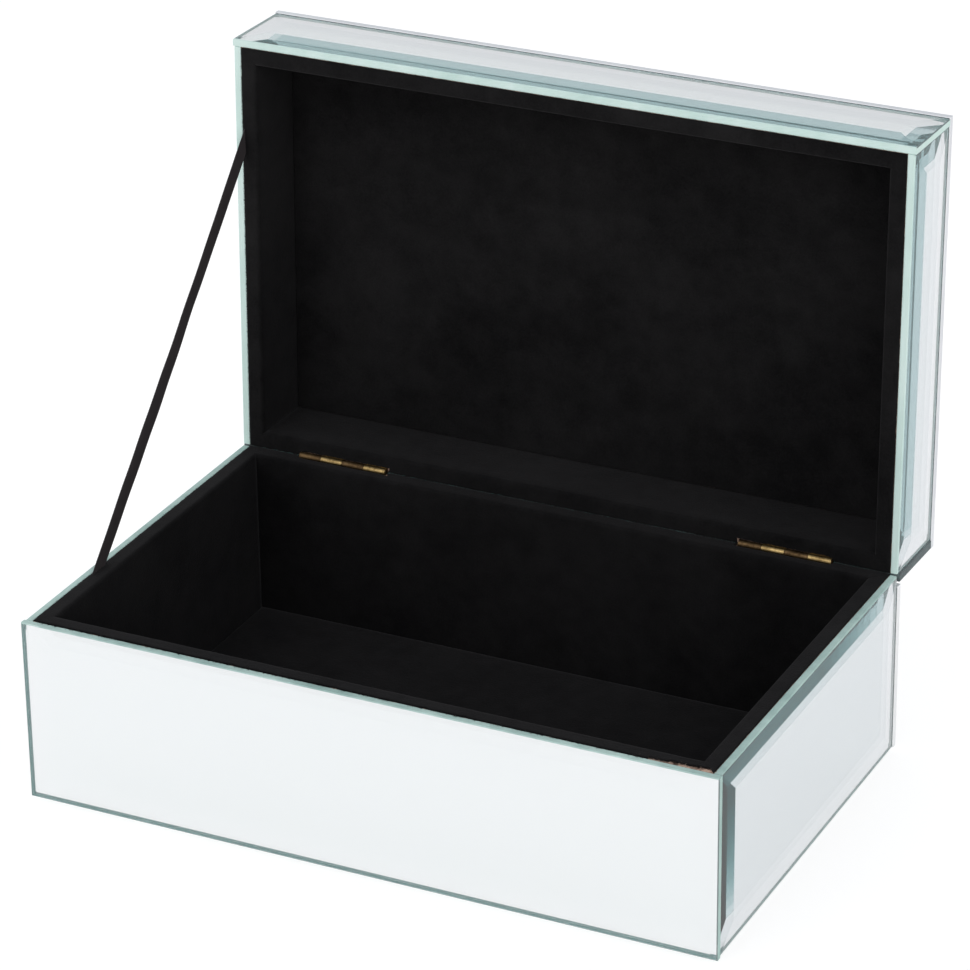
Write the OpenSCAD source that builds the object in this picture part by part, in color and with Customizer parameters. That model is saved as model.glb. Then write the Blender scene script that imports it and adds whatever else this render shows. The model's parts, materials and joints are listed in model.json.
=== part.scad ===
// Mirrored trinket box with a hinged lid, shown with its lid open against the ribbon stay.
// Origin: centre of the underside. +X is to the right, +Y to the hinged back, +Z up.
// The base and the lid are both trays: boards glued into a box, glass panes outside, velvet inside.
// Sides are numbered from the front, going round to the right: 0 front, 1 right, 2 back, 3 left.

/* [Box] */
// Width over the side panes
box_w = 280; // [200:5:340]
// Depth over the front and back panes
box_d = 174; // [130:2:220]
// Height of the base, from the table to its glass rim
base_h = 74; // [50:1:110]
// Height of the lid, from its glass rim to its top pane
lid_h = 38; // [28:1:60]
// Gap between the two glass rims when the box is closed
rim_gap = 1; // [0.8:0.1:1.4]
// Angle between closed and the ribbon's stop, in degrees
lid_open = 91.5; // [90.5:0.5:98]

/* [Glass] */
// Thickness of the mirror panes
glass_t = 4; // [3:0.5:5]
// Width of the bevel round each pane
bevel_w = 10; // [6:1:14]
// Thickness that the bevel takes off the pane's edge
bevel_drop = 1; // [0.6:0.1:1.4]
// Gap between the lid's back pane and the base's when the lid is open
swing_gap = 0.6; // [0.4:0.1:1.5]

/* [Boards] */
// Thickness of the wall boards
wall_t = 6; // [6:0.5:9]
// Thickness of the base's floor board
floor_t = 5; // [3:0.5:8]
// Thickness of the lid's top board
top_t = 5; // [3:0.5:8]

/* [Lining] */
// Thickness of the velvet with its backing
velvet_t = 0.6; // [0.4:0.1:1]
// Gap between the two velvet rims when the box is closed
velvet_gap = 0.3; // [0.3:0.1:0.6]
// Strip of bare rim between the velvet and the glass
velvet_inset = 0.3; // [0.3:0.1:1]
// Thickness of the floor pad and of the lid's pad
pad_t = 2; // [1:0.5:4]
// Gap round the pads
pad_gap = 0.3; // [0.2:0.1:1]
// Thickness of the felt under the base
felt_t = 1; // [0.5:0.5:3]
// Distance of the felt from the glass faces
felt_inset = 3; // [2:1:10]

/* [Hinges] */
// Length of each hinge
hinge_len = 38; // [25:1:50]
// Distance of each hinge from the inner face of the side board
hinge_inset = 17; // [5:1:30]
// Diameter of the hinge barrel
barrel_d = 3.2; // [2.8:0.1:4]
// Diameter of the hinge pin
pin_d = 1.6; // [1.2:0.1:2]
// Radial clearance of the pin in the lid's knuckles
pin_clear = 0.05; // [0.02:0.01:0.1]
// Number of knuckles in each hinge
knuckles = 4; // [4:1:6]
// Gap between one knuckle and the next
knuckle_gap = 0.2; // [0.1:0.05:0.4]
// Thickness of the leaves
leaf_t = 0.8; // [0.6:0.1:1]
// Depth of the leaves below the boards' rims
leaf_sink = 0.05; // [0.05:0.05:0.2]
// Width of the leaves, from the pin's axis
leaf_w = 5.6; // [5:0.1:6]
// Room round the barrel
barrel_room = 0.3; // [0.3:0.05:0.6]

/* [Screws] */
// Diameter of the screws
screw_d = 1.4; // [1.2:0.1:1.6]
// Diameter of the countersunk heads
screw_head_d = 2.4; // [2:0.1:2.6]
// Length of the screws
screw_len = 6; // [5:0.5:8]
// Distance between a leaf's two screws
screw_pitch = 22; // [14:1:28]

/* [Ribbon stay] */
// Width of the ribbon
ribbon_w = 7; // [5:0.5:9]
// Thickness of the ribbon
ribbon_t = 0.35; // [0.2:0.05:0.5]
// Distance from the front board to the ribbon, along the base's rim
stay_from_base_front = 40; // [20:1:50]
// Distance from the front board to the ribbon, along the lid's rim
stay_from_lid_front = 32; // [20:1:50]
// Distance from the ribbon's middle to the left pane's back
ribbon_inset = 1; // [0.8:0.1:3]
// Length of each end that is glued into its slot
ribbon_tail = 7; // [4:1:9]
// Room round the ribbon in its slots
slot_room = 0.15; // [0.1:0.05:0.3]

/* [Hidden] */
$fn = 48;

FRONT = 0;
RIGHT = 1;
BACK = 2;
LEFT = 3;
cut = 0.5;                                      // how far a cut runs past the face it opens
most_bevel = 0.45;                              // a bevel's largest share of a narrow pane

board_x = box_w / 2 - glass_t;                  // outer faces of the boards
board_y = box_d / 2 - glass_t;
lined_t = wall_t + velvet_t;                    // a wall board and its lining
velvet_proud = (rim_gap - velvet_gap) / 2;      // from the glass rim up to the velvet's
board_drop = velvet_t - velvet_proud;           // from the glass rim down to the boards' rim

axis_y = board_y;                               // the hinge axis lies where board and glass meet
axis_z = base_h + rim_gap / 2;
barrel_r = barrel_d / 2;
room_r = barrel_r + barrel_room;
lid_back_drop = room_r - rim_gap / 2;           // the lid's back pane stops short of the barrels
lid_sweep = glass_t * (1 + abs(cos(lid_open))) / sin(lid_open);  // how far below the axis that pane swings
base_back_drop = swing_gap - rim_gap / 2 + lid_sweep;  // the base's back pane stops below it

hinge_x = board_x - wall_t - hinge_inset - hinge_len / 2;
knuckle_len = hinge_len / knuckles;
leaf_top = -(rim_gap / 2 + board_drop + leaf_sink);
screw_y = -(leaf_w + room_r) / 2;
head_h = (screw_head_d - screw_d) / 2;
tip_h = screw_d;

ribbon_x = -(board_x - ribbon_inset);
base_reach = 2 * board_y - wall_t - stay_from_base_front;
lid_reach = 2 * board_y - wall_t - stay_from_lid_front;
rim_lift = velvet_gap / 2;                      // from the hinge axis to either velvet rim, closed
ribbon_base = [axis_y - base_reach, axis_z - rim_lift];
ribbon_lid = [
    axis_y - lid_reach * cos(lid_open) + rim_lift * sin(lid_open),
    axis_z + lid_reach * sin(lid_open) + rim_lift * cos(lid_open)
];
ribbon_run = ribbon_lid - ribbon_base;
ribbon_angle = atan2(ribbon_run[1], ribbon_run[0]);

// ---- Colours ----

module wood_colour() color([0.55, 0.42, 0.28]) children();
module glass_colour() color([0.82, 0.9, 0.89]) children();
module velvet_colour() color([0.07, 0.07, 0.075]) children();
module brass_colour() color([0.78, 0.62, 0.35]) children();

// ---- Where things go ----

// Swings the closed lid open about the hinge axis
module opened() {
    translate([0, axis_y, axis_z])
        rotate([-lid_open, 0, 0])
            translate([0, -axis_y, -axis_z])
                children();
}

// Turns a tray that is drawn like the base over onto the base, and opens it
module as_lid() {
    opened()
        translate([0, 0, base_h + rim_gap + lid_h])
            mirror([0, 0, 1])
                children();
}

// A frame on the hinge axis, the box closed: hand is -1 for the left hinge and 1 for the right
module at_hinge(hand) {
    translate([hand * hinge_x, axis_y, axis_z])
        children();
}

// Mirrors what is drawn for the base in the hinge's frame up to the closed lid
module lid_half() {
    mirror([0, 0, 1])
        children();
}

// The corners of a rectangle that is inset from the boards' outer faces, from the front left round
function corners(inset) = [
    for (s = [[-1, -1], [1, -1], [1, 1], [-1, 1]])
        [s[0] * (board_x - inset), s[1] * (board_y - inset)]
];

// A strip along one side between two insets, with mitred ends
module side_strip(side, outer, inner) {
    next = (side + 1) % 4;
    polygon([corners(outer)[side], corners(outer)[next], corners(inner)[next], corners(inner)[side]]);
}

// ---- Glass panes ----

// Outline of a pane cut across: its back on the axis and its bevelled face up
module pane_section(size) {
    flat = size / 2 - min(bevel_w, most_bevel * size);
    polygon([
        [-size / 2, 0],
        [size / 2, 0],
        [size / 2, glass_t - bevel_drop],
        [flat, glass_t],
        [-flat, glass_t],
        [-size / 2, glass_t - bevel_drop]
    ]);
}

// A pane lying on its silvered back, bevelled on all four sides of its face
module bevelled_pane(across, along) {
    intersection() {
        rotate([90, 0, 0])
            linear_extrude(height = along + 2 * cut, center = true)
                pane_section(across);
        rotate([90, 0, 90])
            linear_extrude(height = across + 2 * cut, center = true)
                pane_section(along);
    }
}

// A pane standing against a side of a tray, from height low to height high
module side_pane(side, low, high) {
    is_long = side == FRONT || side == BACK;
    reach = is_long ? board_y : board_x;
    across = is_long ? box_w : 2 * board_y;
    glass_colour()
        rotate([0, 0, 90 * side])
            translate([0, -reach, (low + high) / 2])
                rotate([90, 0, 0])
                    bevelled_pane(across, high - low);
}

module base_pane(side) {
    side_pane(side, felt_t, base_h - (side == BACK ? base_back_drop : 0));
}

module lid_pane(side) {
    as_lid()
        side_pane(side, glass_t, lid_h - (side == BACK ? lid_back_drop : 0));
}

module lid_top_mirror() {
    as_lid()
        glass_colour()
            translate([0, 0, glass_t])
                mirror([0, 0, 1])
                    bevelled_pane(box_w, box_d);
}

// ---- Boards ----

// The flat board that closes a tray, on top of its outer skin
module flat_board(skin, thickness) {
    wood_colour()
        translate([-board_x, -board_y, skin])
            cube([2 * board_x, 2 * board_y, thickness]);
}

// A wall board, butted between the long ones on the short sides
module wall_board(side, low, high) {
    is_long = side == FRONT || side == BACK;
    reach = is_long ? board_y : board_x;
    length = is_long ? 2 * board_x : 2 * (board_y - wall_t);
    rotate([0, 0, 90 * side])
        translate([-length / 2, -reach, low])
            cube([length, wall_t, high - low]);
}

module base_wall(side) {
    wall_board(side, felt_t + floor_t, base_h - board_drop);
}

module lid_wall(side) {
    wall_board(side, glass_t + top_t, lid_h - board_drop);
}

module base_back_board() {
    wood_colour()
        difference() {
            base_wall(BACK);
            hinge_cuts();
        }
}

module base_left_board() {
    wood_colour()
        difference() {
            base_wall(LEFT);
            ribbon_slot();
        }
}

module lid_back_board() {
    wood_colour()
        difference() {
            as_lid()
                lid_wall(BACK);
            opened()
                translate([0, 0, 2 * axis_z])
                    mirror([0, 0, 1])
                        hinge_cuts();
        }
}

module lid_left_board() {
    wood_colour()
        difference() {
            as_lid()
                lid_wall(LEFT);
            ribbon_slot();
        }
}

// ---- Velvet, pads and felt ----

// Velvet on one wall of a tray, folded over its rim and mitred into its neighbours
module lining(side, low, high) {
    union() {
        translate([0, 0, low])
            linear_extrude(height = high - low)
                side_strip(side, wall_t, lined_t);
        translate([0, 0, high])
            linear_extrude(height = velvet_t)
                side_strip(side, velvet_inset, lined_t);
    }
}

module base_lining(side) {
    lining(side, felt_t + floor_t, base_h - board_drop);
}

module lid_lining(side) {
    as_lid()
        lining(side, glass_t + top_t, lid_h - board_drop);
}

module base_back_lining() {
    velvet_colour()
        difference() {
            base_lining(BACK);
            barrel_cuts();
        }
}

module base_left_lining() {
    velvet_colour()
        difference() {
            base_lining(LEFT);
            ribbon_slot();
        }
}

module lid_back_lining() {
    velvet_colour()
        difference() {
            lid_lining(BACK);
            opened()
                barrel_cuts();
        }
}

module lid_left_lining() {
    velvet_colour()
        difference() {
            lid_lining(LEFT);
            ribbon_slot();
        }
}

// The velvet covered card that lies inside a tray
module pad(low) {
    half_x = board_x - lined_t - pad_gap;
    half_y = board_y - lined_t - pad_gap;
    velvet_colour()
        translate([-half_x, -half_y, low])
            cube([2 * half_x, 2 * half_y, pad_t]);
}

module base_floor_pad() {
    pad(felt_t + floor_t);
}

module lid_top_pad() {
    as_lid()
        pad(glass_t + top_t);
}

module base_felt() {
    half_x = box_w / 2 - felt_inset;
    half_y = box_d / 2 - felt_inset;
    velvet_colour()
        translate([-half_x, -half_y, 0])
            cube([2 * half_x, 2 * half_y, felt_t]);
}

// ---- Hinges, in the frame of at_hinge() ----

// Calls its children at the start of every second knuckle, from the one numbered first
module each_knuckle(first) {
    for (i = [first : 2 : knuckles - 1])
        translate([-hinge_len / 2 + i * knuckle_len, 0, 0])
            children();
}

module along_x(length, radius) {
    rotate([0, 90, 0])
        cylinder(h = length, r = radius);
}

// A leaf under the axis with its own knuckles; the other leaf's knuckles get room
module hinge_leaf(first, bore_r) {
    difference() {
        union() {
            difference() {
                translate([-hinge_len / 2, -leaf_w, leaf_top - leaf_t])
                    cube([hinge_len, leaf_w, leaf_t]);
                each_knuckle(1 - first)
                    translate([-knuckle_gap / 2, -room_r, leaf_top - leaf_t - cut])
                        cube([knuckle_len + knuckle_gap, room_r + cut, leaf_t + 2 * cut]);
            }
            each_knuckle(first)
                translate([knuckle_gap / 2, 0, 0])
                    along_x(knuckle_len - knuckle_gap, barrel_r);
        }
        translate([-hinge_len / 2 - cut, 0, 0])
            along_x(hinge_len + 2 * cut, bore_r);
        screws();
    }
}

module base_leaf(hand) {
    brass_colour()
        at_hinge(hand)
            hinge_leaf(0, pin_d / 2);
}

module lid_leaf(hand) {
    brass_colour()
        opened()
            at_hinge(hand)
                lid_half()
                    hinge_leaf(1, pin_d / 2 + pin_clear);
}

module hinge_pin(hand) {
    brass_colour()
        at_hinge(hand)
            translate([-hinge_len / 2, 0, 0])
                along_x(hinge_len, pin_d / 2);
}

// The two countersunk screws of a leaf, pointing down
module screws() {
    for (side = [-1, 1])
        translate([side * screw_pitch / 2, screw_y, leaf_top])
            mirror([0, 0, 1])
                union() {
                    cylinder(h = head_h, r1 = screw_head_d / 2, r2 = screw_d / 2);
                    translate([0, 0, head_h])
                        cylinder(h = screw_len - head_h - tip_h, r = screw_d / 2);
                    translate([0, 0, screw_len - tip_h])
                        cylinder(h = tip_h, r1 = screw_d / 2, r2 = screw_d / 8);
                }
}

module base_hinge_screws() {
    brass_colour()
        for (hand = [-1, 1])
            at_hinge(hand)
                screws();
}

module lid_hinge_screws() {
    brass_colour()
        opened()
            for (hand = [-1, 1])
                at_hinge(hand)
                    lid_half()
                        screws();
}

// Room round the barrels, above and below the axis
module barrel_cuts() {
    for (hand = [-1, 1])
        at_hinge(hand)
            translate([-hinge_len / 2 - barrel_room, -room_r, -room_r])
                cube([hinge_len + 2 * barrel_room, room_r + cut, 2 * room_r]);
}

// What the base's back board loses to the barrels, the leaves and the screws
module hinge_cuts() {
    barrel_cuts();
    for (hand = [-1, 1])
        at_hinge(hand) {
            translate([-hinge_len / 2, -leaf_w, leaf_top - leaf_t])
                cube([hinge_len, leaf_w + cut, leaf_t + barrel_r]);
            screws();
        }
}

// ---- Ribbon stay ----

// A flat strip along the ribbon's line, thicker and wider by room on each face
module ribbon_strip(room) {
    length = norm(ribbon_run) + 2 * ribbon_tail;
    translate([ribbon_x, ribbon_base[0], ribbon_base[1]])
        rotate([ribbon_angle, 0, 0])
            translate([-ribbon_t / 2 - room, -ribbon_tail - room, -ribbon_w / 2 - room])
                cube([ribbon_t + 2 * room, length + 2 * room, ribbon_w + 2 * room]);
}

module ribbon_slot() {
    ribbon_strip(slot_room);
}

module stay_ribbon() {
    color([0.1, 0.09, 0.095])
        ribbon_strip(0);
}

// ---- Nodes ----

flat_board(felt_t, floor_t);  // base_floor_board
wood_colour() base_wall(FRONT);  // base_front_board
wood_colour() base_wall(RIGHT);  // base_right_board
base_back_board();
base_left_board();
base_pane(FRONT);  // base_front_mirror
base_pane(RIGHT);  // base_right_mirror
base_pane(BACK);  // base_back_mirror
base_pane(LEFT);  // base_left_mirror
velvet_colour() base_lining(FRONT);  // base_front_lining
velvet_colour() base_lining(RIGHT);  // base_right_lining
base_back_lining();
base_left_lining();
base_floor_pad();
base_felt();
base_leaf(-1);  // hinge_left_base_leaf
base_leaf(1);  // hinge_right_base_leaf
hinge_pin(-1);  // hinge_left_pin
hinge_pin(1);  // hinge_right_pin
base_hinge_screws();
as_lid() flat_board(glass_t, top_t);  // lid_top_board
wood_colour() as_lid() lid_wall(FRONT);  // lid_front_board
wood_colour() as_lid() lid_wall(RIGHT);  // lid_right_board
lid_back_board();
lid_left_board();
lid_top_mirror();
lid_pane(FRONT);  // lid_front_mirror
lid_pane(RIGHT);  // lid_right_mirror
lid_pane(BACK);  // lid_back_mirror
lid_pane(LEFT);  // lid_left_mirror
velvet_colour() lid_lining(FRONT);  // lid_front_lining
velvet_colour() lid_lining(RIGHT);  // lid_right_lining
lid_back_lining();
lid_left_lining();
lid_top_pad();
lid_leaf(-1);  // hinge_left_lid_leaf
lid_leaf(1);  // hinge_right_lid_leaf
lid_hinge_screws();
stay_ribbon();
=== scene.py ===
"""The looks of a mirrored trinket box: bevelled panes, velvet inside, brass hinges and a ribbon stay.

Both trays are built by the same functions in a tray's own frame: rim up, outer skin at height 0, sides
numbered from the front going round to the right. The lid's frame is turned over and swung open.
"""

import json
import math
import random

import bmesh
import bpy
from mathutils import Matrix, Vector, noise


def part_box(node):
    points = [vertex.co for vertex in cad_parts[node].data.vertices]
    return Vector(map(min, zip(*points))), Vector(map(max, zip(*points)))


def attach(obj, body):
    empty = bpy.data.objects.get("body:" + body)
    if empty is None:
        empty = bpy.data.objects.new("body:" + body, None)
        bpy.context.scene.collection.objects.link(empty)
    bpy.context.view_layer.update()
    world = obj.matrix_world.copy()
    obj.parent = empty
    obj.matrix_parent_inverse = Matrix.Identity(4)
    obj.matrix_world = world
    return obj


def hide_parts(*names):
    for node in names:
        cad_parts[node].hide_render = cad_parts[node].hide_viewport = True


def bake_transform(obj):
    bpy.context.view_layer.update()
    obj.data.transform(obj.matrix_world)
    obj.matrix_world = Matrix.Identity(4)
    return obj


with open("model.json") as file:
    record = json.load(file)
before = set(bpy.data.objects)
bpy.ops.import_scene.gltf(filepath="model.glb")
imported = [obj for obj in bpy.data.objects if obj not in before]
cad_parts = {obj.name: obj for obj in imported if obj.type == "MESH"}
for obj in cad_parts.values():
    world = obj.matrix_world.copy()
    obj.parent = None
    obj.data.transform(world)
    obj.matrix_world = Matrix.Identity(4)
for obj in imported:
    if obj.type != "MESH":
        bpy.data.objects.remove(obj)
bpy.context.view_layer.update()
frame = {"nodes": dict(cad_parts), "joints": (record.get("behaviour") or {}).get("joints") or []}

MM = 0.001
FRONT, RIGHT, BACK, LEFT = range(4)
SIDES = ("front", "right", "back", "left")

# ---- Places that come from the frame ----

joint = frame["joints"][0]
AXIS = Vector(joint["pos_m"])
LID_OPEN = math.radians(joint["range_deg"][1])
OPENED = Matrix.Translation(AXIS) @ Matrix.Rotation(-LID_OPEN, 4, "X") @ Matrix.Translation(-AXIS)


def local_box(node, matrix):
    """A CAD node's lowest and highest corner in the frame that matrix places."""
    back = matrix.inverted()
    points = [back @ v.co for v in frame["nodes"][node].data.vertices]
    low = Vector([min(p[i] for p in points) for i in range(3)])
    high = Vector([max(p[i] for p in points) for i in range(3)])
    return low, high


closed_lid_top = local_box("lid_top_mirror", OPENED)[1].z
TRAY = {
    "base": Matrix.Identity(4),
    "lid": OPENED @ Matrix.Translation((0, 0, closed_lid_top)) @ Matrix.Diagonal((1, 1, -1, 1)),
}

BOARD_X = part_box("base_front_board")[1].x
BOARD_Y = -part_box("base_front_board")[0].y
WALL_T = BOARD_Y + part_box("base_front_board")[1].y
LINED_T = BOARD_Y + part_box("base_front_lining")[1].y
GLASS_T = -BOARD_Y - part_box("base_front_mirror")[0].y

# ---- Sizes of the glass ----

BEVEL_W = 10 * MM
BEVEL_DROP = 1 * MM
THICK_EDGED = {"lid_back_mirror": 0.3 * MM}  # a pane whose bevel takes less off its edge
ARRIS_W = 0.4 * MM
ARRIS_T = 0.35 * MM
BACK_ARRIS = 0.3 * MM
SET_BACK = 0.5 * MM  # how far short of its neighbours' faces a pane that covers their ends stops
HAIR = 0.03 * MM  # keeps faces that meet from lying in each other
RIGHT_END, TOP_END = 1, 2  # of a pane seen from outside, with its tray's rim up

# ---- Sizes of the velvet ----

STATION = 2.0 * MM  # between the cross-sections along a lining
WAVER = 0.07 * MM  # how far the velvet lies off its board, here and there
FOLD_R = 1.4 * MM  # where the velvet folds over the board's inner edge
HEM_R = 0.4 * MM  # where it stops at the glass
WALL_STEPS, FOLD_STEPS, RIM_STEPS, HEM_STEPS = 9, 6, 5, 3  # of a lining's cross-section
PILE_POINTS = WALL_STEPS + FOLD_STEPS + RIM_STEPS + HEM_STEPS  # that may lift off the board
VELVET_EDGE = 0.03 * MM
EASE = 0.6 * MM  # over which the velvet's edge steps back at an opening
BACKING = 0.12 * MM  # the velvet's backing, left whole where its pile is cut away for the ribbon
OVERHANG = {"base": 0.55 * MM, "lid": 0.1 * MM}  # how far a back lining reaches past its board
OVERHANG_DROP = {"base": 3.6 * MM, "lid": 0.8 * MM}  # and how far it hangs down there
BARREL_ROOM = 0.25 * MM  # at the ends of a hinge barrel
BARREL_EDGE = 1.75 * MM  # how far the velvet's edge stands back for it
BARE_BOARD = (112 * MM, 137 * MM, 2.3 * MM)  # where the velvet has drawn back from the glass
BARE_START = 0.3  # share of that width that is bare where the strip starts
RAGGED = 0.5  # share of that width that its torn edge wanders
FRAY = {"base_front": 1.2 * MM, "other": 0.4 * MM}  # how far the velvet's edge wanders
FIBRE_GAP = 0.4 * MM
FIBRE_LENGTH = 0.8 * MM
FIBRE_W = 0.13 * MM
TUFT_W = 0.35 * MM  # along the frayed front the fibres are thicker,
TUFT_REACH = 2.2  # reach further out by this much,
TUFT_RISE = 0.5  # and rise less
FRAYED_FIBRES = 260
FRAYED_LENGTH = 0.9 * MM
FRAYED_W = 0.16 * MM
FRAYED_LEAD = 5 * MM  # how far before the bare strip its torn fibres start

PAD_CELL = 3 * MM
PAD_FOLD = 0.8 * MM
PAD_RISE = 0.6 * MM
PAD_WAVER = 0.08 * MM
SWELL_FRAMES = 12
FELT_CORNER = 4 * MM
FELT_POINTS = 2.5 * MM  # most distance between the points of the felt's outline
FELT_EDGE = ((0.5, 0), (0.1, 0.15), (0, 0.5), (0.1, 0.85), (0.4, 1))  # mm inward at a share of the height

# ---- Sizes of the ribbon ----

RIBBON_W = 7 * MM
RIBBON_T = 0.35 * MM
RIBBON_STATION = 1.2 * MM
RIBBON_STEPS = 8
RIBBON_SAG = 0.6 * MM
RIBBON_WAVER = 0.3 * MM
RIBBON_CUP = 0.25 * MM
RIBBON_TILT = 8  # degrees
RIBBON_EDGE = 1.1 * MM  # how far the velvet's edge stands back for it
RIBBON_SLOPE = 44  # degrees between the ribbon and the rims that it meets
RIBBON_REACH = RIBBON_W / 2 / math.sin(math.radians(RIBBON_SLOPE))
RIBBON_ENDS = 12  # the ribbon lies true over one part in this many, at each end
CREASES = (0.38, 0.62)
CREASE_DEPTH = 0.25 * MM
LEANS = (0.0, -0.3, 0.3, -0.2)  # shares of the tilt at its foot, its two creases and its top


def ribbon_line():
    """The middle of each end of the CAD ribbon, the lower one first."""
    vertices = frame["nodes"]["stay_ribbon"].data.vertices
    points = sorted((v.co.copy() for v in vertices), key=lambda p: p.y + p.z)
    half = len(points) // 2
    return sum(points[:half], Vector()) / half, sum(points[-half:], Vector()) / half


def where_ribbon_meets(tray):
    """Where the ribbon's middle line passes through the plane of a tray's velvet rim."""
    start, end = (TRAY[tray].inverted() @ p for p in ribbon_line())
    rim = local_box(f"{tray}_left_lining", TRAY[tray])[1].z
    return TRAY[tray] @ start.lerp(end, (rim - start.z) / (end.z - start.z))


RIBBON_END = {tray: where_ribbon_meets(tray) for tray in TRAY}

# ---- Mesh helpers ----


def loft(bm, rings):
    """Joins closed rings of points with quads. Returns the faces as [gap][segment], then the two caps."""
    rows = [[bm.verts.new(p) for p in ring] for ring in rings]
    count = len(rows[0])
    gaps = []
    for low, high in zip(rows, rows[1:]):
        gaps.append([
            bm.faces.new((low[i], low[(i + 1) % count], high[(i + 1) % count], high[i]))
            for i in range(count)
        ])
    ends = [bm.faces.new(rows[0][::-1]), bm.faces.new(rows[-1])]
    return gaps, ends


def new_piece(name, bm, body, materials, replaced=(), sharp=35):
    """Turns a bmesh into a piece that rides on a body and takes its finish from a slot."""
    bmesh.ops.recalc_face_normals(bm, faces=bm.faces)
    mesh = bpy.data.meshes.new(name)
    bm.to_mesh(mesh)
    bm.free()
    mesh.shade_smooth()
    mesh.set_sharp_from_angle(angle=math.radians(sharp))
    for material in materials:
        mesh.materials.append(material)
    piece = bpy.data.objects.new(name, mesh)
    bpy.context.scene.collection.objects.link(piece)
    if body:
        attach(piece, body)
    if replaced:
        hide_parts(*replaced)
    return piece


def turned(side):
    """Turns what is drawn for the front to another side."""
    return Matrix.Rotation(math.radians(90 * side), 4, "Z")


# ---- Node helpers ----


class Look:
    """One material and short ways to build its nodes."""

    def __init__(self, name, **settings):
        self.material = bpy.data.materials.new(name)
        self.material.use_nodes = True
        self.tree = self.material.node_tree
        self.shader = self.tree.nodes["Principled BSDF"]
        for key, value in settings.items():
            self.shader.inputs[key.replace("_", " ")].default_value = value

    def node(self, kind, inputs=None, **settings):
        made = self.tree.nodes.new(kind)
        for key, value in settings.items():
            setattr(made, key, value)
        for key, value in (inputs or {}).items():
            if isinstance(value, bpy.types.NodeSocket):
                self.tree.links.new(value, made.inputs[key])
            else:
                made.inputs[key].default_value = value
        return made

    def place(self, stretch=(1, 1, 1), source="Object"):
        """Object or UV coordinates, stretched along each axis."""
        coordinates = self.node("ShaderNodeTexCoord").outputs[source]
        return self.node("ShaderNodeMapping", {"Vector": coordinates, "Scale": stretch}).outputs[0]

    def noise(self, per_metre, detail=4.0, rough=0.55, at=None):
        inputs = {"Scale": per_metre, "Detail": detail, "Roughness": rough, "Vector": at or self.place()}
        return self.node("ShaderNodeTexNoise", inputs).outputs["Fac"]

    def cells(self, per_metre, at=None):
        inputs = {"Scale": per_metre, "Vector": at or self.place()}
        return self.node("ShaderNodeTexVoronoi", inputs).outputs["Distance"]

    def ramp(self, value, *stops):
        """A colour ramp through (position, colour) stops."""
        made = self.node("ShaderNodeValToRGB", {"Fac": value})
        elements = made.color_ramp.elements
        while len(elements) < len(stops):
            elements.new(0.5)
        for element, (position, colour) in zip(elements, stops):
            element.position = position
            element.color = (*colour, 1)
        return made.outputs["Color"]

    def range(self, value, low, high, start=0.0, end=1.0):
        inputs = {"Value": value, "From Min": start, "From Max": end, "To Min": low, "To Max": high}
        return self.node("ShaderNodeMapRange", inputs).outputs[0]

    def waves(self, per_metre, direction, source="UV"):
        """Sine ribs across one direction of the UV map. The texture itself has 20 / (2 pi) in a metre."""
        inputs = {"Scale": per_metre * 2 * math.pi / 20, "Vector": self.place(source=source)}
        settings = {"bands_direction": direction, "wave_type": "BANDS"}
        return self.node("ShaderNodeTexWave", inputs, **settings).outputs["Fac"]

    def blend(self, a, b, share):
        """Two values mixed, with that share of the second."""
        first = self.maths("MULTIPLY", a, 1 - share)
        return self.maths("ADD", first, self.maths("MULTIPLY", b, share))

    def mix(self, share, first, second):
        """Two colours mixed by a value; each is a plain colour or a socket."""
        made = self.node("ShaderNodeMix", {0: share}, data_type="RGBA")
        for socket, colour in ((6, first), (7, second)):
            if isinstance(colour, bpy.types.NodeSocket):
                self.tree.links.new(colour, made.inputs[socket])
            else:
                made.inputs[socket].default_value = (*colour, 1)
        return made.outputs[2]

    def maths(self, operation, a, b):
        return self.node("ShaderNodeMath", {0: a, 1: b}, operation=operation).outputs[0]

    def bump(self, height, depth, strength=1.0, under=None):
        inputs = {"Height": height, "Distance": depth, "Strength": strength}
        if under:
            inputs["Normal"] = under
        return self.node("ShaderNodeBump", inputs).outputs["Normal"]

    def end(self, last):
        """Shows another shader in place of the first one."""
        self.tree.nodes.remove(self.shader)
        self.tree.links.new(last.outputs[0], self.tree.nodes["Material Output"].inputs["Surface"])

    def drive(self, **sockets):
        for key, value in sockets.items():
            self.tree.links.new(value, self.shader.inputs[key.replace("_", " ")])
        return self


def grey(level):
    return (level, level, level)


# ---- Materials ----


def through_glass(look):
    """White darkened to green by the stretch of glass that a ray has just crossed."""
    stretch = look.maths(
        "MULTIPLY",
        look.node("ShaderNodeLightPath").outputs["Ray Length"],
        look.node("ShaderNodeNewGeometry").outputs["Backfacing"],
    )
    crossed = look.maths("MULTIPLY", stretch, 1 / MM)
    channels = [look.maths("POWER", kept, crossed) for kept in GLASS_KEEPS]
    return look.node("ShaderNodeCombineColor", dict(zip((0, 1, 2), channels))).outputs[0]


def glass_look(name, rough, unevenness):
    """Green float glass, in which a ray bends, is caught at the bevels and darkens on its way."""
    look = Look(name)
    shine = look.node("ShaderNodeBsdfGlass", {
        "Color": through_glass(look),
        "Roughness": rough,
        "IOR": GLASS_IOR,
        "Normal": look.bump(look.noise(12, 2), unevenness, 0.5),
    })
    look.end(shine)
    return look.material


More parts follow.
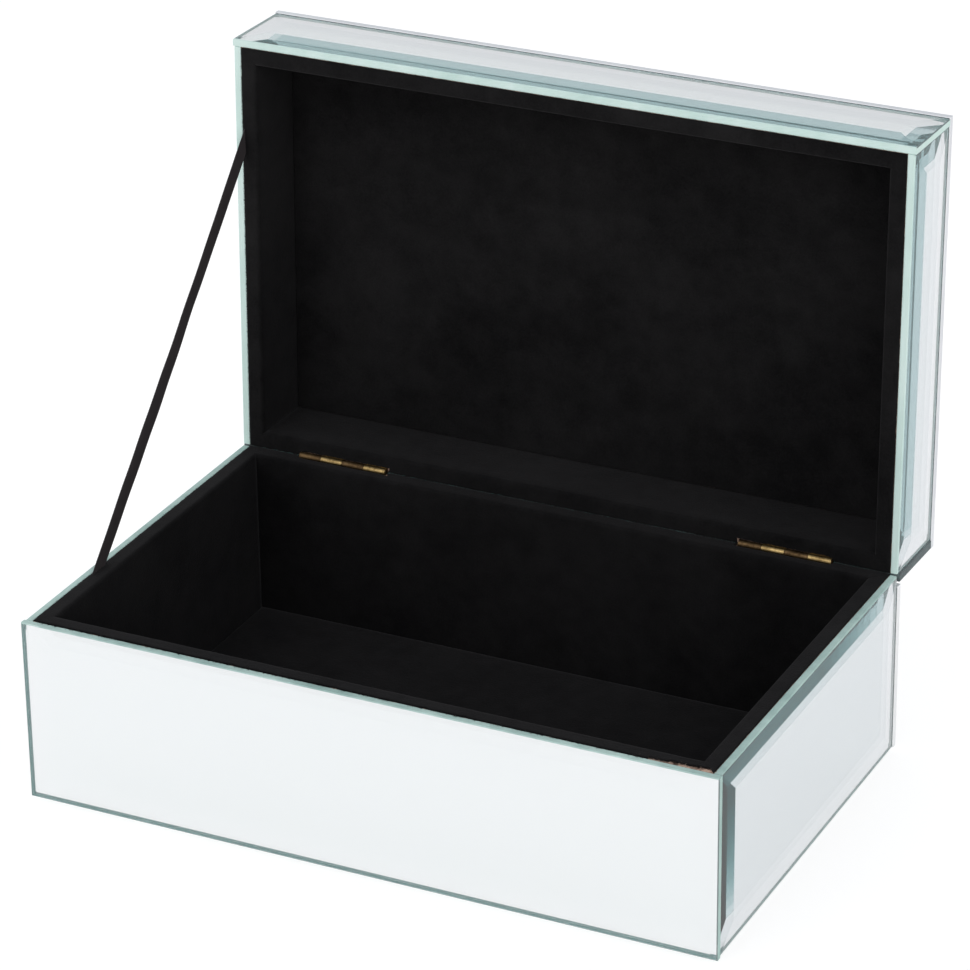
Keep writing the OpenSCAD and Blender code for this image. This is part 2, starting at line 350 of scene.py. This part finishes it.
def silver_look(name, shine):
    """The silvering on the back of a pane, seen through the glass, with painted shade: it reflects less of
    light that has bounced often, which darkens the bevels.
    """
    look = Look(name, Metallic=1.0, Roughness=0.0)
    bounces = look.node("ShaderNodeLightPath").outputs["Ray Depth"]
    caught = look.range(bounces, 0.0, 1.0, FREE_BOUNCES + 0.4, FREE_BOUNCES + 0.6)
    # painted shade: light caught in the pane is reflected darker
    silver = look.mix(caught, shine, TRAPPED)
    product = look.node("ShaderNodeVectorMath", {0: through_glass(look), 1: silver}, operation="MULTIPLY")
    look.drive(Base_Color=product.outputs[0])
    return look.material


def edge_look(name, frost, clear, within):
    """A ground glass edge: satin, with fine grinding lines and a few chips, and another colour within, which
    paints how brightly the inside of the glass is lit.
    """
    look = Look(name)
    lines = look.noise(160, 4, at=look.place((1, 1, 0.15)))
    mixed = look.blend(lines, look.noise(30, 3), 0.6)
    rough = look.bump(look.noise(1500, 3), 0.02 * MM, 0.4)
    chips = look.range(look.cells(300), 0.0, 1.0, 0.01, 0.05)
    outside = look.mix(chips, [c * 0.6 for c in frost], look.ramp(mixed, (0.35, frost), (0.65, clear)))
    # seen from inside the glass, the edge shows the within colour, painted for how brightly the inside is lit
    colour = look.mix(look.node("ShaderNodeNewGeometry").outputs["Backfacing"], outside, within)
    frosted = look.node("ShaderNodeBsdfDiffuse", {"Color": colour, "Normal": rough})
    seen_into = look.node("ShaderNodeBsdfGlass", {
        "Color": through_glass(look),
        "Roughness": 0.25,
        "IOR": GLASS_IOR,
        "Normal": rough,
    })
    both = look.node("ShaderNodeMixShader", {0: 0.2, 1: frosted.outputs[0], 2: seen_into.outputs[0]})
    look.end(both)
    return look.material


def velvet_look(name, dark, light):
    """Short-pile velvet: nearly black, with a mottled nap and a thin sheen at grazing angles."""
    look = Look(name, Roughness=0.95, Sheen_Weight=0.35, Sheen_Roughness=0.45)
    look.shader.inputs["Specular IOR Level"].default_value = 0.1
    look.shader.inputs["Sheen Tint"].default_value = (0.16, 0.155, 0.16, 1)
    nap = look.noise(1400, 3, 0.7)
    brushed = look.noise(110, 5, 0.65)
    broad = look.noise(16, 3)
    mottle = look.blend(look.blend(nap, brushed, 0.5), broad, 0.4)
    fine = look.bump(nap, 0.25 * MM, 0.8)
    look.drive(
        Base_Color=look.ramp(mottle, (0.38, dark), (0.62, light)),
        Normal=look.bump(brushed, 0.35 * MM, 0.5, under=fine),
    )
    return look.material


def felt_look():
    """Pressed grey-black felt with short fibres lying every way."""
    look = Look("black_felt", Roughness=1.0, Sheen_Weight=0.2, Sheen_Roughness=0.6)
    look.shader.inputs["Specular IOR Level"].default_value = 0.05
    fibres = look.blend(
        look.noise(900, 5, at=look.place((1, 0.25, 1))),
        look.noise(900, 5, at=look.place((0.25, 1, 1))),
        0.5,
    )
    look.drive(
        Base_Color=look.ramp(fibres, (0.35, grey(0.008)), (0.7, grey(0.03))),
        Normal=look.bump(fibres, 0.3 * MM, 0.8),
    )
    return look.material


def fibreboard_look(name, dark, light):
    """Brown medium-density fibreboard with pressed fibres and darker flecks."""
    look = Look(name, Roughness=0.9)
    fibres = look.blend(look.noise(500, 6, 0.7, at=look.place((0.6, 0.6, 2))), look.noise(1500, 3), 0.35)
    flecks = look.range(look.cells(900), 0.0, 1.0, 0.05, 0.3)
    base = look.ramp(fibres, (0.4, dark), (0.6, light))
    look.drive(
        Base_Color=look.mix(flecks, (0.06, 0.03, 0.015), base),
        Normal=look.bump(fibres, 0.2 * MM, 0.7),
    )
    return look.material


def brass_look(name, dark, light, rough):
    """Thin plated brass with brown tarnish and fine scratches along the knuckles."""
    look = Look(name, Metallic=1.0)
    tarnish = look.blend(look.noise(160, 5, 0.65), look.noise(900, 3), 0.35)
    scratches = look.noise(1800, 3, at=look.place((0.06, 1, 1)))
    look.drive(
        Base_Color=look.ramp(tarnish, (0.36, dark), (0.58, light)),
        Roughness=look.range(tarnish, rough + 0.22, rough),
        Normal=look.bump(scratches, 0.04 * MM, 0.7),
    )
    return look.material


def ribbon_look():
    """Black grosgrain: fine ribs across the ribbon, finer threads along it, and wear."""
    look = Look("black_grosgrain", Roughness=0.6, Sheen_Weight=0.5, Sheen_Roughness=0.35)
    look.shader.inputs["Sheen Tint"].default_value = (0.3, 0.27, 0.28, 1)
    ribs = look.waves(1 / (0.45 * MM), "Y")
    threads = look.waves(1 / (0.3 * MM), "X")
    weave = look.maths("MULTIPLY", ribs, look.range(threads, 0.75, 1.0))
    worn = look.blend(weave, look.noise(160, 4, at=look.place(source="UV")), 0.4)
    look.drive(
        Base_Color=look.ramp(worn, (0.0, (0.016, 0.013, 0.014)), (1.0, (0.05, 0.041, 0.043))),
        Normal=look.bump(weave, 0.03 * MM, 0.6),
    )
    return look.material


def floor_look():
    """Plain white floor, bright enough to burn out like a lit table."""
    look = Look("white_floor", Base_Color=(0.3, 0.3, 0.3, 1), Roughness=0.9)
    look.shader.inputs["Emission Color"].default_value = (1, 1, 1, 1)
    look.shader.inputs["Emission Strength"].default_value = FLOOR_GLOW
    return look.material


FLOOR_GLOW = 0.8
BOUNCES = 40  # light caught in a bevelled pane bounces often
GLASS_IOR = 1.52
GLASS_KEEPS = (0.9945, 0.9985, 0.998)  # what is left of red, green and blue after each millimetre
FREE_BOUNCES = 2  # a ray that has bounced more often than this is caught in the pane
TRAPPED = (0.78, 0.845, 0.852)  # what the silver reflects of caught light: painted shade that darkens the bevels
GLASS = glass_look("float_glass", 0.0, 0.03 * MM)
SILVER = silver_look("silvering", (0.88, 0.87, 0.88))
# Painted shade: the right-hand panes get darker silvering, so that their reflections come out darker than the
# other panes'.
SILVER_PAINTED_DARKER = silver_look("silvering_painted_shade", (0.74, 0.735, 0.76))

# Painted shade: the colour that a ground edge shows from inside the glass is painted darker than its outside.
SHADED_INSIDE = (0.36, 0.62, 0.6)
# Copies of one ground edge, painted lighter or darker for how brightly each pane's edges are lit: the pale,
# white and end copies are painted light, the green and dark copies are painted shade.
GROUND = edge_look("ground_edge", (0.64, 0.82, 0.76), (0.78, 0.93, 0.88), SHADED_INSIDE)
SHADED_GREEN_GROUND = edge_look("green_ground_edge_painted_shade", (0.38, 0.54, 0.5), (0.62, 0.8, 0.74), SHADED_INSIDE)
PALE_LIT_GROUND = edge_look("pale_ground_edge_painted_light", (0.8, 0.81, 0.84), (0.92, 0.93, 0.95), SHADED_INSIDE)
END_LIT_GROUND = edge_look("ground_edge_end_painted_light", (0.8, 0.86, 0.85), (0.92, 0.95, 0.94), (0.9, 0.95, 0.95))
GLOW_PAINTED_GROUND = edge_look("white_ground_edge_painted_light", (0.95, 0.96, 0.965), (0.99, 0.99, 0.99), SHADED_INSIDE)
SHADE_PAINTED_GROUND = edge_look("dark_ground_edge_painted_shade", (0.1, 0.115, 0.12), (0.15, 0.17, 0.175), SHADED_INSIDE)
# The narrow front arris is painted dark grey-green: painted shade on the same ground glass as the edge.
ARRIS = edge_look("glass_arris_painted_shade", (0.2, 0.24, 0.24), (0.27, 0.31, 0.31), SHADED_INSIDE)

VELVET = velvet_look("black_velvet", (0.0018, 0.0017, 0.0019), (0.0105, 0.01, 0.0103))
FELT = felt_look()
FIBREBOARD = fibreboard_look("brown_fibreboard", (0.07, 0.035, 0.025), (0.62, 0.42, 0.32))
FRAYED = fibreboard_look("torn_fibreboard", (0.25, 0.15, 0.1), (0.85, 0.66, 0.55))
BRIGHT_BRASS = brass_look("bright_brass", (0.1, 0.06, 0.02), (0.42, 0.3, 0.13), 0.25)
DARK_BRASS = brass_look("dark_brass", (0.035, 0.02, 0.01), (0.15, 0.095, 0.045), 0.35)
GROSGRAIN = ribbon_look()

# ---- Bevelled mirror panes ----

# Which ground edge each pane takes: the base's side panes and the lid's back pane get copies painted darker
# as painted shade, the base's back pane and the lid's top get copies painted paler as painted light.
EDGE_OF = {
    "base_front_mirror": SHADED_GREEN_GROUND,
    "base_right_mirror": SHADED_GREEN_GROUND,
    "base_left_mirror": SHADED_GREEN_GROUND,
    "base_back_mirror": GLOW_PAINTED_GROUND,
    "lid_top_mirror": PALE_LIT_GROUND,
    "lid_back_mirror": SHADE_PAINTED_GROUND,
}
# The right-hand panes, whose reflections are darkened by their silvering as painted shade.
PANES_WITH_PAINTED_SHADE = ("base_right_mirror", "lid_right_mirror")
# A pane whose right-hand ends are painted paler, as painted light.
LIT_ENDED_PANES = ("base_right_mirror",)


def pane(node, body, matrix, width, height):
    """A mirror pane on its silvered back, in its own frame: X and Y across it, +Z out of its face."""
    drop = THICK_EDGED.get(node, BEVEL_DROP)
    edge_t = GLASS_T - drop
    slope = drop / BEVEL_W
    # a right-hand pane takes the silvering darkened as painted shade
    silver = SILVER_PAINTED_DARKER if node in PANES_WITH_PAINTED_SHADE else SILVER
    # the pane's ground edges and arris take the copy painted lighter or darker for it
    ground = EDGE_OF.get(node, GROUND)
    arris = GLOW_PAINTED_GROUND if ground is GLOW_PAINTED_GROUND else ARRIS
    section = [
        (HAIR + BACK_ARRIS, HAIR),
        (HAIR, HAIR + BACK_ARRIS),
        (HAIR, edge_t - ARRIS_T),
        (ARRIS_W, edge_t + slope * ARRIS_W),
        (BEVEL_W, GLASS_T),
    ]
    rings = []
    for inset, depth in section:
        x, y = width / 2 - inset, height / 2 - inset
        rings.append([Vector((sx * x, sy * y, depth)) for sx, sy in ((-1, -1), (1, -1), (1, 1), (-1, 1))])
    bm = bmesh.new()
    gaps, (back, face) = loft(bm, rings)
    materials = [GLASS, silver, ground, arris]
    for gap, look in zip(gaps, (ground, ground, arris, GLASS)):
        for quad in gap:
            quad.material_index = materials.index(look)
    gaps[2][TOP_END].material_index = materials.index(ground)
    if node in LIT_ENDED_PANES:
        materials.append(END_LIT_GROUND)
        for gap in gaps[:2]:
            gap[RIGHT_END].material_index = materials.index(END_LIT_GROUND)
    back.material_index = materials.index(silver)
    face.material_index = materials.index(GLASS)
    bmesh.ops.transform(bm, matrix=matrix, verts=bm.verts)
    return new_piece(f"{node}_pane", bm, body, materials, [node], sharp=2)


def side_panes(tray):
    """The four panes that stand round a tray."""
    for side, word in enumerate(SIDES):
        node = f"{tray}_{word}_mirror"
        low, high = local_box(node, TRAY[tray] @ turned(side))
        place = (
            TRAY[tray]
            @ turned(side)
            @ Matrix.Translation((0, high.y, (low.z + high.z) / 2))
            @ Matrix.Rotation(math.radians(90), 4, "X")
        )
        back = SET_BACK if side in (FRONT, BACK) else 0
        pane(node, tray, place, high.x - low.x - 2 * back, high.z - low.z)


def top_pane():
    """The lid's own top mirror, whose face looks away from the tray."""
    node = "lid_top_mirror"
    low, high = local_box(node, TRAY["lid"])
    place = TRAY["lid"] @ Matrix.Translation((0, 0, high.z)) @ Matrix.Diagonal((1, 1, -1, 1))
    size = high - low - Vector((2, 2, 0)) * SET_BACK
    pane(node, "lid", place, size.x, size.y)


# ---- Velvet linings ----


def arc(centre, radius, start, end, steps):
    """Points of an arc in the plane of a cross-section, from angle start to end in degrees."""
    angles = [math.radians(start + (end - start) * i / steps) for i in range(steps + 1)]
    return [(centre[0] + radius * math.cos(a), centre[1] + radius * math.sin(a)) for a in angles]


def lining_section(low, board_top, top, edge, backed, drop):
    """A lining cut across, as (distance inward from the glass, height): its pile first, then its back."""
    wall = [(LINED_T, low + (top - FOLD_R - low) * i / WALL_STEPS) for i in range(WALL_STEPS)]
    fold = arc((LINED_T - FOLD_R, top - FOLD_R), FOLD_R, 0, 90, FOLD_STEPS)
    width = LINED_T - FOLD_R - edge - HEM_R
    rim = [(LINED_T - FOLD_R - width * i / RIM_STEPS, top) for i in range(1, RIM_STEPS)]
    hem = arc((edge + HEM_R, top - HEM_R), HEM_R, 90, 180, HEM_STEPS)
    on_board = board_top + HAIR
    hangs = max(0.0, min(1.0, -edge / (0.3 * MM)))
    foot = on_board - drop * hangs
    turn = backed + 0.01 * MM if backed > -2 * HAIR else -HAIR
    backing = [(edge - 0.01 * MM, on_board + BACKING), (backed, on_board + BACKING * 0.9)]
    tucked = [(backed, foot), (turn, foot), (turn + 0.01 * MM * (1 - hangs), on_board)]
    return wall + fold + rim + hem + backing + tucked + [(WALL_T + HAIR, on_board), (WALL_T + HAIR, low)]


def edge_at(along, openings, overhang, fray):
    """How far from the glass the velvet's outer edge lies: it keeps clear of hinges and the ribbon."""
    wander = max(0.0, noise.noise(Vector((along / (3 * MM), 7, 0))) - 0.2)
    edge = VELVET_EDGE + HAIR + fray * wander - overhang
    for opening in openings:
        start, end, clear = opening
        inside = min(along - start, end - along)
        ease = max(0.0, min(1.0, inside / EASE + 1))
        width = clear * torn_share(along) if opening == BARE_BOARD else clear
        edge += (width + overhang) * ease * ease * (3 - 2 * ease)
    return edge


def torn_share(along):
    """How much of the bare strip's full width is bare: more and more along it, with a ragged edge."""
    start, end, _ = BARE_BOARD
    share = BARE_START + (1 - BARE_START) * (along - start) / (end - start)
    share += RAGGED * noise.noise(Vector((along / (1.5 * MM), 3, 0)))
    share += RAGGED / 2 * noise.noise(Vector((along / (0.5 * MM), 8, 0)))
    return max(0.1, share)


def stations(half, openings):
    """Places along a lining: evenly spaced, and closer round each opening in its edge."""
    count = math.ceil(2 * half / STATION)
    places = {-half + 2 * half * i / count for i in range(count + 1)}
    for start, end, _ in openings:
        for place in (start, end):
            places.update(place + step * EASE / 2 for step in range(-3, 4))
    return sorted(p for p in places if -half <= p <= half)


def add_fibre(bm, root, reach, width, material=0):
    """One loose fibre as a thin three-sided spike."""
    a, b = width / 2, width * 0.87
    points = [root + Vector((-a, 0, 0)), root + Vector((a, 0, 0)), root + Vector((0, 0, b)), root + reach]
    verts = [bm.verts.new(p) for p in points]
    for i, j, k in ((0, 1, 3), (1, 2, 3), (2, 0, 3), (0, 2, 1)):
        bm.faces.new((verts[i], verts[j], verts[k])).material_index = material


def fray_board(bm, rng, reach, board_top):
    """Torn fibres that stand up from the bare rim of the board, in the second material."""
    start, end, width = BARE_BOARD
    for _ in range(FRAYED_FIBRES):
        along = rng.uniform(start - FRAYED_LEAD, end)
        root = Vector((along, -reach + rng.uniform(0.1, 1) * width, board_top))
        root.x = min(root.x, end - root.y - reach)
        out = Vector((rng.gauss(0, 0.7), rng.gauss(0, 0.35), rng.uniform(0.2, 0.8))) * FRAYED_LENGTH
        add_fibre(bm, root, out, FRAYED_W, material=1)


def fringe(bm, rng, half, reach, top, edge, frayed):
    """Loose fibres along a lining's outer edge; edge gives its distance from the glass at a place."""
    for _ in range(int(2 * half / FIBRE_GAP)):
        along = rng.uniform(-1, 1) * (half - 2 * MM)
        root = Vector((along, -reach + edge(along) + 0.1 * MM, top - rng.uniform(0.1, 0.4) * MM))
        out = Vector((rng.gauss(0, 0.5), -rng.uniform(0.2, 0.9), rng.uniform(-0.1, 0.3))) * FIBRE_LENGTH
        if frayed:
            out.y *= TUFT_REACH
            out.z *= TUFT_RISE
        add_fibre(bm, root, out, TUFT_W if frayed else FIBRE_W)


def lining(tray, side, openings=()):
    """Velvet on one wall of a tray, folded over its rim and mitred into its neighbours."""
    word = SIDES[side]
    node = f"{tray}_{word}_lining"
    place = TRAY[tray] @ turned(side)
    low, top = (corner.z for corner in local_box(node, place))
    board_top = local_box(f"{tray}_{word}_board", place)[1].z
    overhang = OVERHANG[tray] if side == BACK else 0
    fray = FRAY.get(f"{tray}_{word}", FRAY["other"])
    half, reach = (BOARD_X, BOARD_Y) if side in (FRONT, BACK) else (BOARD_Y, BOARD_X)
    seed = Vector((side * 3.1, 11.0 if tray == "lid" else 5.0, 0))
    bm = bmesh.new()
    rings = []

    def edge(along):
        return edge_at(along, openings, overhang, fray)

    for along in stations(half, openings):
        backed = VELVET_EDGE if side == LEFT else edge(along) - 0.02 * MM
        section = lining_section(low, board_top, top, edge(along), backed, OVERHANG_DROP[tray])
        ring = []
        for number, (inward, height) in enumerate(section):
            x = along * (half - inward) / half
            pile = number < PILE_POINTS
            lift = WAVER * noise.noise(Vector((x * 130, height * 130, 0)) + seed) if pile else 0
            on_wall = height < top - FOLD_R
            inward += lift if on_wall and inward > WALL_T + HAIR else 0
            height += lift if not on_wall and pile and height > board_top + HAIR else 0
            ring.append(Vector((x, -reach + inward, height)))
        rings.append(ring)
    loft(bm, rings)
    rng = random.Random(side + 10 * len(tray))
    fringe(bm, rng, half, reach, top, edge, frayed=fray > FRAY["other"])
    materials = [VELVET]
    if BARE_BOARD in openings:
        materials.append(FRAYED)
        fray_board(bm, rng, reach, board_top)
    bmesh.ops.transform(bm, matrix=place, verts=bm.verts)
    piece = new_piece(f"{node}_velvet", bm, tray, materials, [node], sharp=60)


# ---- Openings in the velvet's edge ----


def hinge_openings():
    """Where the velvet's outer edge stands back for the hinge barrels, along a back lining."""
    spans = []
    for hand in ("left", "right"):
        low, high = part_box(f"hinge_{hand}_pin")
        spans.append((-high.x - BARREL_ROOM, -low.x + BARREL_ROOM, BARREL_EDGE))
    return spans


def ribbon_opening(tray):
    """Where the ribbon comes up between the glass and a left lining, along that lining."""
    along = ((TRAY[tray] @ turned(LEFT)).inverted() @ RIBBON_END[tray]).x
    return [(along - RIBBON_REACH, along + RIBBON_REACH, RIBBON_EDGE)]


# ---- Padded cards ----


def skirt(bm, edges, half, out, down):
    """Extends the rim of a rectangular sheet outwards and down, and returns the new rim."""
    grown = bmesh.ops.extrude_edge_only(bm, edges=edges)["geom"]
    for v in (g for g in grown if isinstance(g, bmesh.types.BMVert)):
        for i in (0, 1):
            if abs(abs(v.co[i]) - half[i]) < HAIR:
                v.co[i] += math.copysign(out, v.co[i])
        v.co.z -= down
    half[0] += out
    half[1] += out
    return [g for g in grown if isinstance(g, bmesh.types.BMEdge)]


def swell(piece, pinned, most):
    """Fills a pad's cover with a little pressure, and keeps each point within most of where it was."""
    before = [v.co.copy() for v in piece.data.vertices]
    group = piece.vertex_groups.new(name="pinned")
    group.add(pinned, 1.0, "REPLACE")
    cloth = piece.modifiers.new("cloth", "CLOTH")
    cloth.settings.vertex_group_mass = "pinned"
    cloth.settings.use_pressure = True
    cloth.settings.uniform_pressure_force = 4
    cloth.settings.tension_stiffness = 12
    cloth.settings.bending_stiffness = 0.3
    cloth.settings.effector_weights.gravity = 0
    scene = bpy.context.scene
    for step in range(1, SWELL_FRAMES + 1):
        scene.frame_set(step)
    shaped = piece.evaluated_get(bpy.context.evaluated_depsgraph_get()).to_mesh()
    after = [v.co.copy() for v in shaped.vertices]
    piece.modifiers.remove(cloth)
    for v, old, new in zip(piece.data.vertices, before, after):
        move = new - old
        if move.length > 0:
            v.co = old + move.normalized() * most * math.tanh(move.length / most)
    scene.frame_set(1)
    piece.data.update()


def pad(tray):
    """The velvet covered card that lies in a tray, drawn about its own middle and then put in place."""
    node = "base_floor_pad" if tray == "base" else "lid_top_pad"
    low, high = local_box(node, TRAY[tray])
    thick = high.z - low.z
    flat = [(high.x - low.x) / 2 - PAD_FOLD, (high.y - low.y) / 2 - PAD_FOLD]
    cells = [round(2 * length / PAD_CELL) for length in flat]
    bm = bmesh.new()
    bmesh.ops.create_grid(bm, x_segments=cells[0], y_segments=cells[1], size=1)
    for v in bm.verts:
        nap = noise.noise(v.co * 9) + 0.5 * noise.noise(v.co * 31)
        v.co = Vector((v.co.x * flat[0], v.co.y * flat[1], thick - PAD_RISE + PAD_WAVER * nap))
    rim = [e for e in bm.edges if e.is_boundary]
    half = list(flat)
    rim = skirt(bm, rim, half, PAD_FOLD * 0.7, PAD_FOLD * 0.3)
    rim = skirt(bm, rim, half, PAD_FOLD * 0.3, PAD_FOLD * 0.7)
    rim = skirt(bm, rim, half, 0, thick - PAD_RISE - PAD_FOLD)
    bmesh.ops.contextual_create(bm, geom=rim)
    bm.verts.index_update()
    fixed = [v.index for v in bm.verts if v.co.z <= thick - PAD_RISE - PAD_FOLD * 0.2]
    piece = new_piece(f"{node}_cover", bm, None, [VELVET], [node], sharp=60)
    swell(piece, fixed, PAD_RISE)
    middle = Matrix.Translation(((low.x + high.x) / 2, (low.y + high.y) / 2, low.z))
    piece.data.transform(TRAY[tray] @ middle)
    if tray == "lid":
        piece.data.flip_normals()
    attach(piece, tray)


# ---- Felt ----


def felt():
    """The felt under the base, with rounded corners and a slightly uneven cut edge."""
    low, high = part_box("base_felt")
    x, y = high.x - FELT_CORNER, high.y - FELT_CORNER
    rings = []
    for inset, height in FELT_EDGE:
        outline = []
        for number, centre in enumerate(((x, y), (-x, y), (-x, -y), (x, -y))):
            outline += arc(centre, FELT_CORNER - inset * MM, 90 * number, 90 * number + 90, 6)
        z = low.z + (high.z - low.z) * height
        ring = []
        for px, py in spread_out(outline, FELT_POINTS):
            shrunk = 1 - 0.0008 * (1 + noise.noise(Vector((px, py, 0)) * 300))
            ring.append(Vector((px * shrunk, py * shrunk, z)))
        rings.append(ring)
    bm = bmesh.new()
    loft(bm, rings)
    piece = new_piece("base_felt_sheet", bm, "base", [FELT], ["base_felt"], sharp=40)


def spread_out(outline, most):
    """A closed outline with points added until none are further apart than most."""
    points = []
    for a, b in zip(outline, outline[1:] + outline[:1]):
        count = max(1, math.ceil(math.dist(a, b) / most))
        points += [(a[0] + (b[0] - a[0]) * i / count, a[1] + (b[1] - a[1]) * i / count) for i in range(count)]
    return points


# ---- Ribbon stay ----


def ribbon():
    """A flat woven ribbon, pulled nearly straight, with two soft creases and thicker edges."""
    start, end = ribbon_line()
    run = (end - start).normalized()
    across = Vector((1, 0, 0)).cross(run)
    length = (end - start).length
    count = round(length / RIBBON_STATION)
    bm = bmesh.new()
    uv = bm.loops.layers.uv.new("UVMap")
    rings = []
    for i in range(count + 1):
        along = i / count
        free = (start + run * length * along - RIBBON_END["base"]).dot(run)
        share = free / (RIBBON_END["lid"] - RIBBON_END["base"]).length
        inside = max(0.0, min(1.0, share * RIBBON_ENDS)) * max(0.0, min(1.0, (1 - share) * RIBBON_ENDS))
        tilt = math.radians(RIBBON_TILT) * inside * ribbon_lean(share)
        sag = -RIBBON_SAG * inside * math.sin(math.pi * max(0.0, min(1.0, share)))
        waver = RIBBON_WAVER * inside * noise.noise(Vector((share * 9, 3, 0)))
        middle = start + run * length * along + across * sag + Vector((waver, 0, 0))
        rings.append(ribbon_section(middle, across, tilt, inside, share))
    gaps, _ = loft(bm, rings)
    for i, gap in enumerate(gaps):
        for quad in gap:
            for loop in quad.loops:
                offset = loop.vert.co - start
                loop[uv].uv = (offset.dot(across), offset.dot(run))
    piece = new_piece("ribbon_stay_strap", bm, None, [GROSGRAIN], ["stay_ribbon"], sharp=50)
    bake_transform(piece)


def ribbon_lean(share):
    """How the ribbon leans from side to side along its length, changing at its two creases."""
    places = (0, CREASES[0], CREASES[1], 1)
    for (a, b), (low, high) in zip(zip(places, places[1:]), zip(LEANS, LEANS[1:])):
        if a <= share <= b:
            t = (share - a) / (b - a)
            return low + (high - low) * t
    return 0


def ribbon_section(middle, across, tilt, inside, share):
    """The ribbon cut across: thin, slightly cupped, with rounded edges."""
    side = Vector((1, 0, 0))
    wide = across * math.cos(tilt) + side * math.sin(tilt)
    thick = side * math.cos(tilt) - across * math.sin(tilt)
    crease = sum(math.exp(-((share - c) / 0.006) ** 2) for c in CREASES)
    points = []
    for face in (1, -1):
        for i in range(RIBBON_STEPS + 1):
            t = (2 * i / RIBBON_STEPS - 1) * face
            cup = RIBBON_CUP * inside * (1 - t * t) - CREASE_DEPTH * crease * (1 - abs(t))
            half = RIBBON_T / 2 * (0.55 if abs(t) == 1 else 1.12 if abs(t) == 0.75 else 0.9)
            points.append(middle + wide * (t * RIBBON_W / 2) + thick * (cup + half * face))
    return points


# ---- Stage, camera and lights ----


def stage():
    """A plain white floor."""
    bm = bmesh.new()
    bmesh.ops.create_grid(bm, x_segments=1, y_segments=1, size=6)
    mesh = bpy.data.meshes.new("floor")
    bm.to_mesh(mesh)
    bm.free()
    mesh.materials.append(floor_look())
    floor = bpy.data.objects.new("floor", mesh)
    bpy.context.scene.collection.objects.link(floor)


def look_from(target, azimuth, elevation, distance, roll, lens):
    """A camera that looks at target: azimuth goes round from the front to the right."""
    a, e = math.radians(azimuth), math.radians(elevation)
    back = Vector((math.sin(a) * math.cos(e), -math.cos(a) * math.cos(e), math.sin(e)))
    data = bpy.data.cameras.new("camera")
    data.lens = lens
    data.sensor_width = 36
    camera = bpy.data.objects.new("camera", data)
    turn = (-back).to_track_quat("-Z", "Y").to_matrix().to_4x4()
    camera.matrix_world = (
        Matrix.Translation(target + back * distance) @ turn @ Matrix.Rotation(math.radians(roll), 4, "Z")
    )
    bpy.context.scene.collection.objects.link(camera)
    bpy.context.scene.camera = camera


def softbox(name, place, target, size, watts):
    """A soft rectangular light that faces target."""
    data = bpy.data.lights.new(name, "AREA")
    data.shape = "RECTANGLE"
    data.size, data.size_y = size
    data.energy = watts
    lamp = bpy.data.objects.new(name, data)
    lamp.location = place
    lamp.rotation_euler = (Vector(target) - Vector(place)).to_track_quat("-Z", "Y").to_euler()
    bpy.context.scene.collection.objects.link(lamp)


def sky():
    """A studio all round: white at the horizon, greyer overhead."""
    world = bpy.data.worlds.new("studio")
    bpy.context.scene.world = world
    world.use_nodes = True
    tree = world.node_tree
    place = tree.nodes.new("ShaderNodeTexCoord")
    split = tree.nodes.new("ShaderNodeSeparateXYZ")
    ramp = tree.nodes.new("ShaderNodeValToRGB")
    tree.links.new(place.outputs["Generated"], split.inputs[0])
    tree.links.new(split.outputs["Z"], ramp.inputs["Fac"])
    tree.links.new(ramp.outputs["Color"], tree.nodes["Background"].inputs["Color"])
    ramp.color_ramp.elements[0].position = 0.05
    ramp.color_ramp.elements[0].color = (1, 1, 1, 1)
    ramp.color_ramp.elements[1].position = 0.75
    ramp.color_ramp.elements[1].color = (0.6, 0.62, 0.66, 1)


# ---- The pieces ----


def finish_cad_nodes():
    """Gives the CAD nodes that stay on show their materials."""
    looks = {"board": FIBREBOARD, "base_leaf": DARK_BRASS, "pin": DARK_BRASS}
    looks.update({"lid_leaf": BRIGHT_BRASS, "screws": BRIGHT_BRASS})
    for name, node in frame["nodes"].items():
        for ending, look in looks.items():
            if name.endswith(ending):
                node.data.materials.clear()
                node.data.materials.append(look)


side_panes("base")
side_panes("lid")
top_pane()
for tray in ("base", "lid"):
    lining(tray, FRONT, [BARE_BOARD] if tray == "base" else [])
    lining(tray, RIGHT)
    lining(tray, BACK, hinge_openings())
    lining(tray, LEFT, ribbon_opening(tray))
    pad(tray)
felt()
ribbon()
finish_cad_nodes()

stage()
sky()
look_from(
    target=Vector((9.02, 0, 122.09)) * MM,
    azimuth=26.234,
    elevation=25.639,
    distance=1618 * MM,
    roll=-0.72,
    lens=164.6,
)
softbox("key", (-0.6, -1.6, 1.5), (0, 0, 0.1), (1.4, 1.0), 8)
softbox("fill", (1.6, -0.6, 1.2), (0, 0, 0.1), (1.2, 1.0), 3)
bpy.context.scene.view_settings.view_transform = "Standard"
for kind in ("max", "glossy", "transmission"):
    setattr(bpy.context.scene.cycles, f"{kind}_bounces", BOUNCES)
